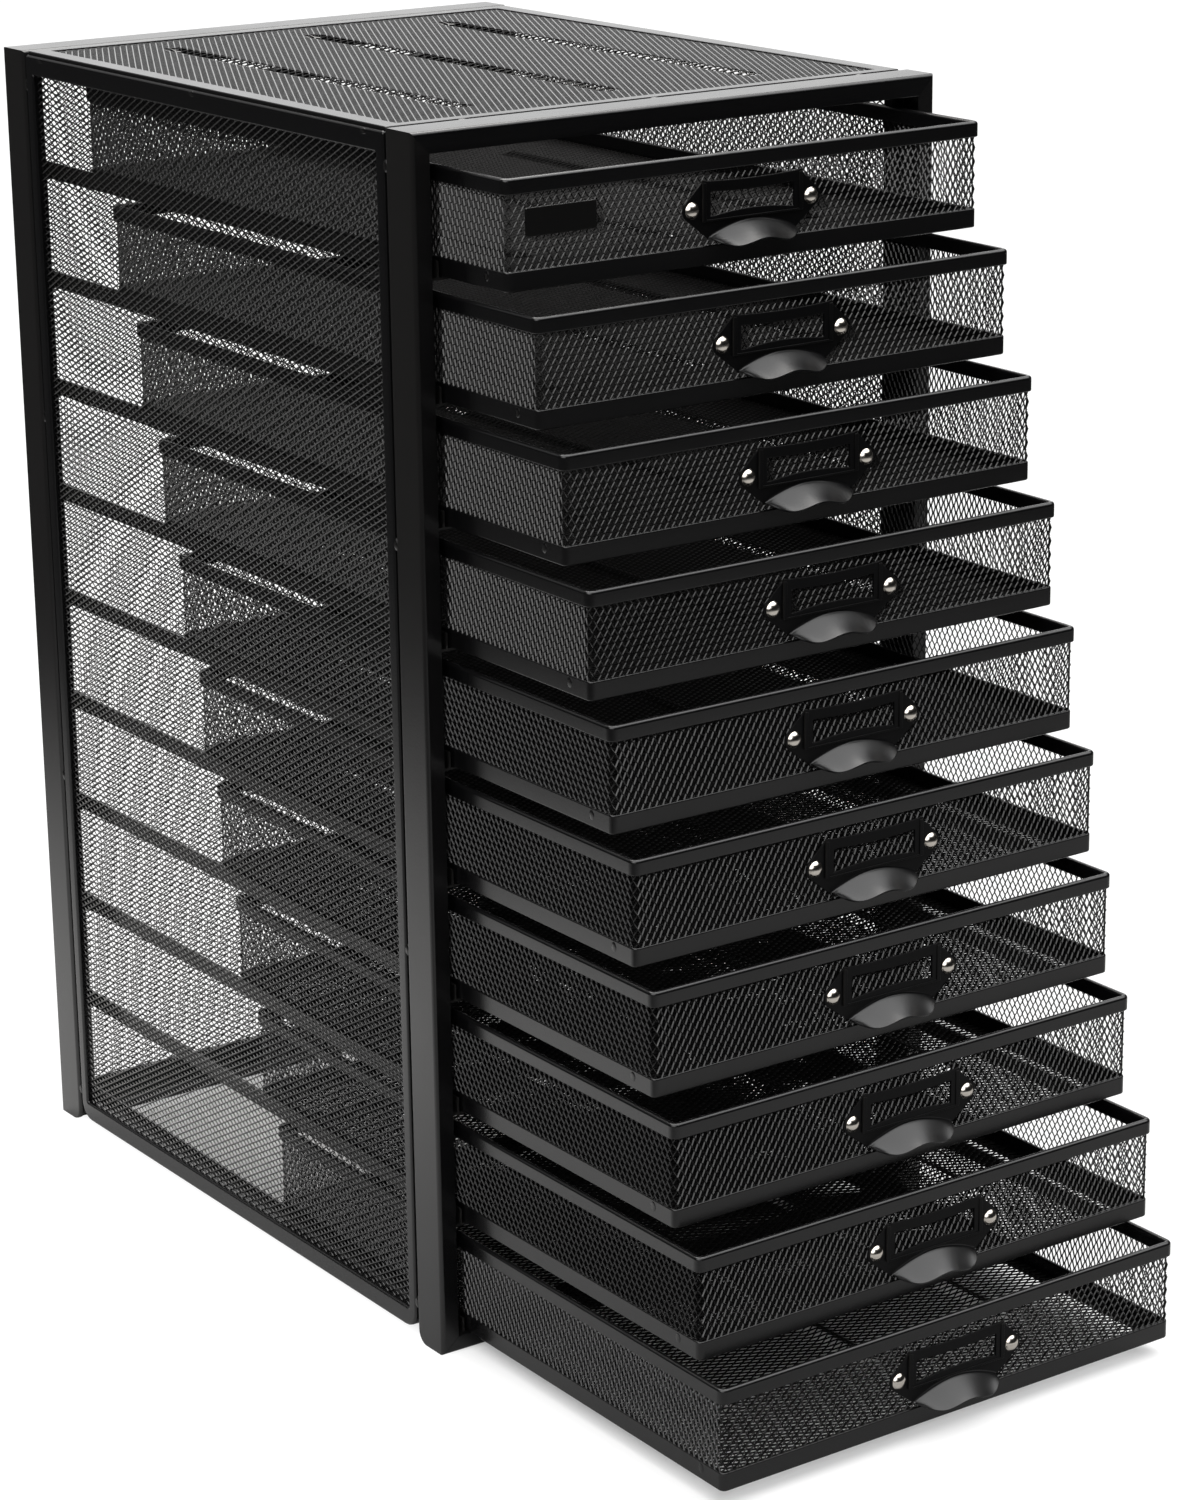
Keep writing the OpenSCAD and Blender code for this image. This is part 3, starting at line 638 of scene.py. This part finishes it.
header_ends = [(1, flange_d), (-1, flange_d)]
sill_end = [(0.93, flange_d), (0.955, 15.0), (1, 15.0)]     # shallower near the round feet
sill_ends = [(-share, depth) for share, depth in sill_end[::-1]] + sill_end
header, sill = beam_rows(header_h, header_ends, cab_h, -1), beam_rows(sill_h, sill_ends, 0, 1)
for end, flip_y in (("front", False), ("back", True)):
    for part, rows, flip_x in (("left_post", post_rows(), False), ("right_post", post_rows(), True),
                               ("header", header, False), ("sill", sill, False)):
        points, quads, faces = mirrored(*loft(rows), flip_x, flip_y)
        node = "%s_%s" % (end, part)
        hang_steel(node + "_channel", (points + [0, front_y, 0], quads, faces), node)

# %% [markdown]
# ## Panel rims
# The mesh of each panel is pinched in a rim of folded sheet. The rim is a ring between an
# outer and an inner outline. Both have the same number of stations, so a small section,
# rounded on its outer edges, can be carried round between them.

# %% Rims between two outlines
def rim_solid(outer, inner, thick, edge):
    """Ring between two outlines. Height 0 is its hidden face, thick its shown face."""
    gap = inner - outer
    toward = gap / np.linalg.norm(gap, axis=1, keepdims=True)
    hem = 0.3
    flank = [(hem, 0.0), (0.0, hem)]
    flank += [(edge * (1 - math.cos(a)), thick - edge * (1 - math.sin(a)))
              for a in np.radians(np.linspace(0, 90, 5))]
    rows = [np.column_stack([outer + toward * d, np.full(len(outer), h)]) for d, h in flank]
    rows += [np.column_stack([inner - toward * d, np.full(len(outer), h)])
             for d, h in flank[::-1]]
    return np.concatenate(rows), grid_quads(len(rows), len(outer), True, True)


def rim_ring(low, high, margin, thick, edge, radii=(1.0,) * 4):
    """A rim between two flat corners, with its opening a margin (across, up) inside."""
    outer = outline_stations(*low, *high, radii)
    inner = outline_stations(*(low + margin), *(high - margin), (0.8,) * 4)
    return rim_solid(outer, inner, thick, edge)


post_margin, beam_margin = 6, 9
low, high = box_mm("left_rim")
side_t = high[0] - low[0]
ring, quads = rim_ring(low[1:], high[1:], (post_margin, beam_margin), side_t, 1.3,
                       (9, 1.2, 1.2, 9))
left_points = np.stack([low[0] + side_t - ring[:, 2], ring[:, 0], ring[:, 1]], 1)
for name, flip in (("left_rim", 1), ("right_rim", -1)):
    hang_steel(name + "_folded", (left_points * [flip, 1, 1], quads[:, ::-flip]), name)

low, high = box_mm("top_rim")
ring, quads = rim_ring(low[:2], high[:2], (beam_margin, post_margin), high[2] - low[2], 0.6)
hang_steel("top_rim_folded", (ring + [0, 0, low[2]], quads), "top_rim")

low, high = box_mm("back_rim")
ring, quads = rim_ring(low[::2], high[::2], (post_margin, post_margin), high[1] - low[1], 0.8)
back_points = np.stack([ring[:, 0], low[1] + ring[:, 2], ring[:, 1]], 1)
hang_steel("back_rim_folded", (back_points, quads[:, ::-1]), "back_rim")

# %% [markdown]
# ## Panel meshes
# The side, top and back meshes are the stretched sheet, laid with its long diamonds the way
# each real panel has them. The top panel has three pressed beads that stiffen it: a
# bead is only a smooth dip added to the sheet's height. The large sheets are built in two
# halves, so that no single mesh grows too heavy.

# %% Sheets that fill a box
bead_centres = (-74.0, 0.0, 74.0)
bead_half, bead_run = 5.6, 6.0


def fill_box(low, high, across, along, short, long):
    """How many diamonds fill a box each way, and how a sheet's points lie in it."""
    across, along = np.array(across, float), np.array(along, float)
    columns = int(abs((high - low) @ across) / short) - 1
    rows = int(abs((high - low) @ along) / (long / 2)) - 1
    start = (low + high) / 2 - across * columns * short / 2 - along * (rows - 1) * long / 4
    return columns, rows, lambda points: start + points[:, :1] * across + points[:, 1:2] * along


def bead_height(across, along, start, stop):
    """1 on a bead's middle line, 0 off the bead."""
    nearest = np.min([np.abs(across - c) for c in bead_centres], axis=0)
    dip = 0.5 * (1 + np.cos(np.pi * np.clip(nearest / bead_half, 0, 1)))
    ends = np.clip(np.minimum(along - start, stop - along) / bead_run, 0, 1)
    return dip * ends * ends * (3 - 2 * ends)


def beaded_sheet(name, box, across, along, short, long, lift, rise, bead_ends):
    """A level sheet with beads. Its normals come from small differences in height."""
    columns, rows, lie = fill_box(*box, across, along, short, long)
    step = 0.2

    def height_of(x, y):
        return rise * bead_height(x, y, *bead_ends)

    def place(points):
        spot = lie(points)
        x, y = spot[:, 0], spot[:, 1]
        slope_x = (height_of(x + step, y) - height_of(x - step, y)) / (2 * step)
        slope_y = (height_of(x, y + step) - height_of(x, y - step)) / (2 * step)
        normals = np.stack([-slope_x, -slope_y, np.ones(len(x))], 1)
        normals /= np.linalg.norm(normals, axis=1, keepdims=True)
        spot[:, 2] += height_of(x, y)
        return spot + normals * points[:, 2:], normals

    return mesh_sheet(name, columns, rows, short, long, lift, place)


print("beads run at x =", bead_centres)

# %% Lay the panel meshes
panel_short, panel_long, panel_lift = 3.12, 5.75, -0.26
top_short, top_long, top_lift, top_dip = 3.1, 5.95, -0.05, 2.3


def hang_strands(mesh, node):
    add_piece(mesh.name, painted(mesh, mesh_black), "cabinet", node)


def hang_upright(node, along, facing):
    """An upright panel's sheet, as a low and a high half."""
    facing = np.array(facing, float)
    columns, rows, lie = fill_box(*box_mm(node), (0, 0, 1), along, panel_short, panel_long)
    middle = columns * panel_short / 2

    def place(points):
        return lie(points) + points[:, 2:] * facing, np.tile(facing, (len(points), 1))

    for half, keep in (("low", lambda m: m[:, 0] < middle), ("high", lambda m: m[:, 0] >= middle)):
        mesh = mesh_sheet("%s_%s_strands" % (node, half), columns, rows, panel_short,
                          panel_long, panel_lift, place, keep)
        if np.cross((0, 0, 1), along) @ facing < 0:
            mesh.flip_normals()
        hang_strands(mesh, node)


hang_upright("left_mesh", (0, 1, 0), (-1, 0, 0))
hang_upright("right_mesh", (0, 1, 0), (1, 0, 0))
low, high = box_mm("top_mesh")
low[2] = high[2] = high[2] - 0.3
hang_strands(beaded_sheet("top_mesh_strands", (low, high), (1, 0, 0), (0, 1, 0), top_short,
                          top_long, top_lift, -top_dip, (front_y + 50, back_y - 52)), "top_mesh")
hang_upright("back_mesh", (-1, 0, 0), (0, 1, 0))

# %% [markdown]
# ## Welds
# Small weld spots bridge the seams between the panels and the frames. Under the coat each
# looks like a flat half-moon bead, so it is a low dome, longer along its seam.

# %% Weld spots
def dome(centre, along, outward, length, width, height, rings=5, around=16):
    """A low oval dome with a closed underside."""
    centre, along, outward = [np.array(v, float) for v in (centre, along, outward)]
    across = np.cross(outward, along)
    turn = np.radians(np.arange(around) * 360 / around)
    rows = []
    for k in range(rings + 1):
        tip = math.radians(90 * k / rings)
        shrink = math.cos(tip) ** 0.8
        rows.append(centre + np.outer(np.cos(turn) * length / 2 * shrink, along)
                    + np.outer(np.sin(turn) * width / 2 * shrink, across)
                    + outward * height * math.sin(tip))
    rows[-1] = rows[-1] * 0.1 + rows[-1].mean(0) * 0.9
    return loft(rows)


def gather(solids):
    """Several solids as one list of points, quads and other faces."""
    points, quads, faces, count = [], [], [], 0
    for p, q, f in solids:
        points.append(p)
        quads.append(np.asarray(q) + count)
        faces += [np.asarray(face) + count for face in f]
        count += len(p)
    return np.concatenate(points), np.concatenate(quads), faces


seams = (front_y + flange_d + 0.75, back_y - flange_d - 0.75)
weld_solids = []
for side in (-1, 1):
    weld_solids += [dome((side * (cab_w / 2 - 1.3), y, z), (0, 0, 1), (side, 0, 0), 5.5, 3.2, 1.1)
                    for y in seams for z in (17.5, 179.5, 355.0, 509.5)]
    weld_solids += [dome((side * (cab_w / 2 - 0.5), front_y + y, cab_h - 3.2), (0, 1, 0),
                         (side, 0, 0), 5.0, 2.6, 0.45) for y in (36, 174, 312)]
weld_solids += [dome((x, y, cab_h - 1.0), (1, 0, 0), (0, 0, 1), 5.0, 3.0, 0.95)
                for y in seams for x in (-95.0, 0.0, 108.0)]
hang_steel("seam_weld_spots", gather(weld_solids), "seam_welds")
print("weld spots:", len(weld_solids))

# %% [markdown]
# ## Runners
# Plain angles inside the cabinet carry the drawers. Their measured solids are already the
# right shape, so they only get the paint.

# %% Paint the runners
for node in ("left_runners", "right_runners"):
    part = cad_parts[node]
    part.data.materials.clear()
    part.data.materials.append(frame_black)
print("runners painted")

# %% [markdown]
# ## A drawer's frame
# A drawer hangs between two folded strips: a rim with a round top edge that catches a thin
# line of light, and a lower band that turns in under the floor. Both run round the
# same rounded rectangle, so each is one section swept round it.

# %% Rim and band
rim_r, rim_h, rim_t = 3.6, 6.5, 3.0
band_h, band_t, band_in, band_flange, flange_t = 8.1, 2.0, 0.8, 7.2, 0.8
tack_in, tack_z = 15.0, 5.0

rim_section = fillet([(0, drawer_h - rim_h, 0.5), (rim_t, drawer_h - rim_h, 0.5),
                      (rim_t, drawer_h, 1.4), (0, drawer_h, 1.4)], steps=6)
band_section = fillet([(band_in, 0, 0.7), (band_in + band_flange, 0, 0.25),
                       (band_in + band_flange, flange_t, 0.25), (band_in + band_t, flange_t, 0.4),
                       (band_in + band_t, band_h, 0.7), (band_in, band_h, 0.7)])
rim_mesh = painted(quad_mesh("drawer_rim", *ring_sweep(drawer_w, drawer_d, rim_r, rim_section)),
                   frame_black)
tacks = [dome((side * (drawer_w / 2 - band_in - 0.05), y, tack_z), (0, 0, 1), (side, 0, 0),
              4.4, 3.4, 0.35) for side in (-1, 1) for y in (tack_in, drawer_d - tack_in)]
band = (*ring_sweep(drawer_w, drawer_d, rim_r, band_section), [])
band_mesh = painted(quad_mesh("drawer_band", *gather([band] + tacks)), frame_black)
print("rim faces:", len(rim_mesh.polygons), "band faces:", len(band_mesh.polygons))

# %% [markdown]
# ## A drawer's basket
# The walls are one strip of mesh bent round four tight corners and the floor is a second
# sheet with three stiffening beads. To bend the strip, its short way becomes a distance
# along the rounded rectangle. A sheet leans one way only, so it looks lighter from one side
# than from the other. Five of the drawers were made with their strip turned over.

# %% Basket walls and floor
wall_inset, wall_foot, wall_rows = 1.5, 4.4, 13
wall_r = rim_r - wall_inset
half_x, half_y = drawer_w / 2 - wall_inset - wall_r, drawer_d / 2 - wall_inset - wall_r
wall_pitch, wall_long, wall_share, wall_lift = 3.41, 5.8, 0.88, 0.46
floor_short, floor_long, floor_lift = 3.5, 5.95, -0.3
floor_inset, floor_z, floor_bead = 3.25, 1.5, 1.6


def round_the_basket(distance):
    """Points and outward normals at a distance along the basket's wall line."""
    arc = math.pi / 2 * wall_r
    lengths = [2 * half_x, arc, 2 * half_y, arc] * 2
    corners = [(half_x, -half_y), (half_x, half_y), (-half_x, half_y), (-half_x, -half_y)]
    x, y, nx, ny = np.zeros((4, len(distance)))
    total, heading = 0.0, -90.0
    distance = distance % sum(lengths)
    for k, length in enumerate(lengths):
        here = (distance >= total) & (distance < total + length)
        run = distance[here] - total
        bent = k % 2
        angle = np.radians(heading) + run / wall_r * bent
        slide = run * (1 - bent)
        middle_x, middle_y = corners[(k - 1) // 2]
        nx[here], ny[here] = np.cos(angle), np.sin(angle)
        x[here] = middle_x + wall_r * nx[here] - slide * ny[here]
        y[here] = middle_y + wall_r * ny[here] + slide * nx[here]
        heading += 90 * bent
        total += length
    return x, y + drawer_d / 2, nx, ny


def wall_strip(lift):
    around = 4 * half_x + 4 * half_y + 2 * math.pi * wall_r
    columns = round(around / wall_pitch)
    short = around / columns
    points, quads = expanded_sheet(columns, wall_rows, short, wall_long, lift, closed=True,
                                   share=wall_share)
    x, y, nx, ny = round_the_basket(points[:, 0] + short * 0.3)
    flat = np.zeros(len(x))
    normals, short_way = np.stack([nx, ny, flat], 1), np.stack([-ny, nx, flat], 1)
    spot = np.stack([x, y, wall_foot + points[:, 1]], 1) + normals * points[:, 2:3]
    return painted(strands("basket_walls", points, quads, spot, normals, short_way, lift),
                   mesh_black)


walls_mesh, turned_walls = wall_strip(wall_lift), wall_strip(-wall_lift)
middle = np.array([0, drawer_d / 2, floor_z])
reach = np.array([drawer_w / 2 - floor_inset, drawer_d / 2 - floor_inset, 0])
floor_mesh = painted(beaded_sheet("basket_floor", (middle - reach, middle + reach), (0, 1, 0),
                                  (-1, 0, 0), floor_short, floor_long, floor_lift, floor_bead,
                                  (52, drawer_d - 52)), floor_shade_black)
print("wall faces:", len(walls_mesh.polygons), "floor faces:", len(floor_mesh.polygons))

# %% [markdown]
# ## The pull
# Each pull is pressed from one sheet: two ears for the rivets, a label frame with a bowed
# window that stands a little proud and is folded over at three sides to hold a card, and a
# lip for a finger. Each flat part is a filled curve with a small bevel, which rounds
# its cut edges. The lip leaves the sheet in a tight bend, falls forward and ends in an edge
# that is higher in the middle than at its two corners. The label frame and the lip catch
# the light differently, so they are two pieces with a paint each.

# %% Outlines of the pull
label_w, label_drop, label_sag = 50.0, 10.3, 0.9
window_half, window_top, window_foot, window_sag = 21.0, 14.8, 25.0, -1.8
frame_foot, seam_gap = 26.6, 0.4
rivet_x, rivet_drop, ear_r = 30.0, 21.8, 4.5
lip_half, lip_drop, lip_arch, lip_reach = 21.7, 28.0, 5.4, 10.4
pull_t, wall_face = 0.9, 1.2
sheet_y = wall_face - pull_t


def sag_line(half, z, sag, steps=24):
    """A bowed line from half to -half."""
    x = np.linspace(half, -half, steps + 1)
    return np.stack([x, z - sag * (1 - (x / half) ** 2)], 1)


def tangent_arc(point, other, steps=16):
    """Arc round the left rivet from the tangent of one point to that of another."""
    centre = np.array([-rivet_x, -rivet_drop])
    angles = []
    for p, sign in ((point, 1), (other, -1)):
        d = np.array(p) - centre
        angles.append(math.atan2(d[1], d[0]) + sign * math.acos(ear_r / np.linalg.norm(d)))
    if angles[1] < angles[0]:
        angles[1] += 2 * math.pi
    a = np.linspace(angles[0], angles[1], steps)
    return centre + ear_r * np.stack([np.cos(a), np.sin(a)], 1)


def root_arc(x):
    return -lip_drop - lip_arch * (x / lip_half) ** 2


def pull_outline():
    half = label_w / 2 - seam_gap
    foot_x = lip_half + 0.9
    top = sag_line(half, -label_drop - seam_gap, label_sag)
    foot = np.linspace(-foot_x, foot_x, 25)
    bottom = np.stack([foot, root_arc(np.clip(foot, -lip_half, lip_half))], 1)
    left = tangent_arc(top[-1], bottom[0])
    return np.concatenate([top, left, bottom, left[::-1] * [-1, 1]])


def window_outline(grow=0.0):
    half = window_half + grow
    top = sag_line(half, -window_top + grow, label_sag)
    return np.concatenate([top, sag_line(-half, -window_foot - grow, window_sag)])


def frame_outline():
    half = label_w / 2
    top = sag_line(half, -label_drop, label_sag)
    return np.concatenate([top, [(-half, -frame_foot), (half, -frame_foot)]])


def fold_outline():
    """The U that is folded over the frame's two ends and its foot."""
    half, wide, foot = label_w / 2 + 0.15, 1.7, frame_foot + 0.2
    inner, inner_foot = half - wide, 26.0
    return np.array([(-half, -11.2), (-half, -foot), (half, -foot), (half, -11.2),
                     (inner, -11.4), (inner, -inner_foot), (-inner, -inner_foot),
                     (-inner, -11.4)])


print("the pull's outline has", len(pull_outline()), "points")

# %% Sheets with beveled edges
def bevel_inset(outline, amount):
    """Pulls an outline in by the bevel, which the curve adds back."""
    before, after = np.roll(outline, 1, 0), np.roll(outline, -1, 0)
    along = after - before
    normal = np.stack([-along[:, 1], along[:, 0]], 1)
    normal /= np.linalg.norm(normal, axis=1, keepdims=True)
    return outline + normal * amount


def cut_sheet(outlines, front, back, bevel):
    """A flat sheet between two depths, its cut edges beveled, as points and faces."""
    curve = bpy.data.curves.new("cut_sheet", "CURVE")
    curve.dimensions = "2D"
    curve.fill_mode = "BOTH"
    curve.extrude = ((back - front) / 2 - bevel) * MM
    curve.bevel_depth = bevel * MM
    curve.bevel_resolution = 2
    for outline, inset in outlines:
        outline = bevel_inset(outline, inset * bevel)
        spline = curve.splines.new("POLY")
        spline.points.add(len(outline) - 1)
        flat = np.column_stack([outline * MM, np.zeros(len(outline)), np.ones(len(outline))])
        spline.points.foreach_set("co", flat.ravel())
        spline.use_cyclic_u = True
    holder = add_object("cut_sheet", curve)
    bpy.context.view_layer.update()
    mesh = bpy.data.meshes.new_from_object(
        holder.evaluated_get(bpy.context.evaluated_depsgraph_get()))
    points = np.empty(len(mesh.vertices) * 3)
    mesh.vertices.foreach_get("co", points)
    points = points.reshape(-1, 3) / MM
    faces = [list(p.vertices) for p in mesh.polygons]
    bpy.data.objects.remove(holder)
    bpy.data.curves.remove(curve)
    bpy.data.meshes.remove(mesh)
    placed = np.stack([points[:, 0], (front + back) / 2 - points[:, 2],
                       drawer_h + points[:, 1]], 1)
    return placed, np.zeros((0, 4), int), faces


pull_sheets = [
    cut_sheet([(pull_outline(), 1), (window_outline(0.3), -1)], sheet_y, wall_face, 0.2),
    cut_sheet([(frame_outline(), 1), (window_outline(), -1)], -0.3, 0.8, 0.3),
    cut_sheet([(fold_outline(), 1)], -0.7, -0.1, 0.22)]
print("pull sheet points:", [len(sheet[0]) for sheet in pull_sheets])

# %% The lip
def lip_solid(across=48, thick=pull_t, dish=0.45):
    """Rows run from the root to the edge, one for each place across the lip."""
    u = np.linspace(-1, 1, across + 1)
    bulge = np.maximum(1 - np.abs(u) ** 2.6, 0) ** 0.6
    fall = 5.9 + 9.6 * u ** 2 - 14.4 * u ** 4
    root = np.stack([lip_half * u, np.full(u.shape, sheet_y), root_arc(lip_half * u)], -1)
    edge = root + np.stack([0 * u, -lip_reach * bulge, -fall * bulge], -1)
    length = np.maximum(np.linalg.norm(edge - root, axis=1), 1e-3)[:, None]
    ahead = (edge - root) / length
    bend = np.minimum(1.1, length * 0.4)
    rows = [root + np.array([0, 0, 0.8]) * (1 - t) ** 2 + ahead * bend * t ** 2
            for t in np.linspace(0, 1, 6)]
    for v in np.linspace(0, 1, 9)[1:]:
        row = root + ahead * (bend + (length - bend) * v)
        row[:, 2] -= dish * np.sin(np.pi * v * 0.9) * bulge
        rows.append(row)
    sheet = np.stack(rows, 1)
    normal = np.cross(np.gradient(sheet, axis=1), np.gradient(sheet, axis=0))
    normal /= np.maximum(np.linalg.norm(normal, axis=-1, keepdims=True), 1e-9)
    normal = np.where(normal[..., 1:2] > 0, -normal, normal)
    fade = np.clip(bulge * 3, 0.15, 1)[:, None, None]
    under = sheet - normal * thick * fade
    nose = (sheet[:, -1:] + under[:, -1:]) / 2 + ahead[:, None] * 0.3 * fade
    rows = np.concatenate([sheet, nose, under[:, ::-1]], 1)
    return inside_out(*loft(rows + [0, 0, drawer_h]))


label_mesh = painted(quad_mesh("label_frame", *gather(pull_sheets)), frame_dull)
lip_mesh = painted(quad_mesh("finger_lip", *lip_solid()), pull_black)
print("pull faces:", len(label_mesh.polygons), len(lip_mesh.polygons))

# %% [markdown]
# ## Rivets
# A rivet is a turned part: a low dome with a small foot ring outside and a formed tail
# inside the basket. Turning a profile round the axis gives it.

# %% Turn the rivets
def turned(profile, centre, axis_y, around=32):
    """Turns (radius, distance along -Y) round an axis along Y."""
    t = np.radians(np.arange(around) * 360 / around)
    return inside_out(*loft([
        np.stack([centre[0] + radius * np.cos(t), np.full(around, axis_y - out),
                  centre[1] + radius * np.sin(t)], 1) for radius, out in profile]))


rivet_r, rivet_h = 3.5, 2.2
dome_r, dome_rise = 3.4, 1.85
ball_r = (dome_r ** 2 + dome_rise ** 2) / (2 * dome_rise)
rivet_profile = [(1.2, -1.6), (2.3, -2.2), (2.2, -1.75), (1.2, -1.5), (1.2, 0.0), (3.35, 0.0),
                 (rivet_r, 0.1), (rivet_r, 0.25)]
for k in range(10, 0, -1):
    slope = math.asin(dome_r / ball_r) * k / 10
    rivet_profile.append((ball_r * math.sin(slope), rivet_h - ball_r * (1 - math.cos(slope))))
rivet_profile.append((0.02, rivet_h))
rivet_solids = [turned(rivet_profile, (side * rivet_x, drawer_h - rivet_drop), sheet_y)
                for side in (-1, 1)]
rivet_mesh = painted(quad_mesh("drawer_rivets", *gather(rivet_solids)), rivet_nickel)
print("rivet faces:", len(rivet_mesh.polygons))

# %% [markdown]
# ## Ten drawers
# The ten drawers share their meshes, with two kinds of walls. Each set is moved to where its
# measured frame stands and rides on its own drawer.

# %% Hang the drawers
turned_drawers = range(5, 10)
for number in range(1, 11):
    body = "drawer_%02d" % number
    low, high = box_mm(body + "_frame")
    walls = turned_walls if number in turned_drawers else walls_mesh
    for part, mesh, slot, node in (
            ("rim", rim_mesh, "powder_black", "frame"),
            ("band", band_mesh, "powder_black", "frame"),
            ("walls", walls, "mesh_black", "mesh"), ("floor", floor_mesh, "mesh_black", "mesh"),
            ("label_frame", label_mesh, "pull_black", "pull"),
            ("finger_lip", lip_mesh, "pull_black", "pull"),
            ("dome_rivets", rivet_mesh, "nickel", "rivets")):
        add_piece("%s_%s" % (body, part), mesh, body, "%s_%s" % (body, node),
                  (0, low[1], low[2]))

# %% [markdown]
# ## The little plate
# A bare plate sits on the mesh of the top drawer. It is a rounded slab: the same
# outline at a few heights, the last ones drawn in, so that its edge catches light.

# %% The bare plate
low, high = box_mm("name_plate")
rows = []
for inset, out in ((0.0, 0.0), (0.0, 0.7), (0.08, 0.88), (0.28, 1.0)):
    line = outline_stations(low[0] + inset, low[2] + inset, high[0] - inset, high[2] - inset,
                            (0.8,) * 4)
    rows.append(np.stack([line[:, 0], high[1] - out * np.ones(len(line)), line[:, 1]], 1))
add_piece("bare_plate", painted(quad_mesh("bare_plate", *loft(rows)), plate_black), "drawer_01",
          "name_plate")
print("plate %.1f x %.1f mm" % (high[0] - low[0], high[2] - low[2]))
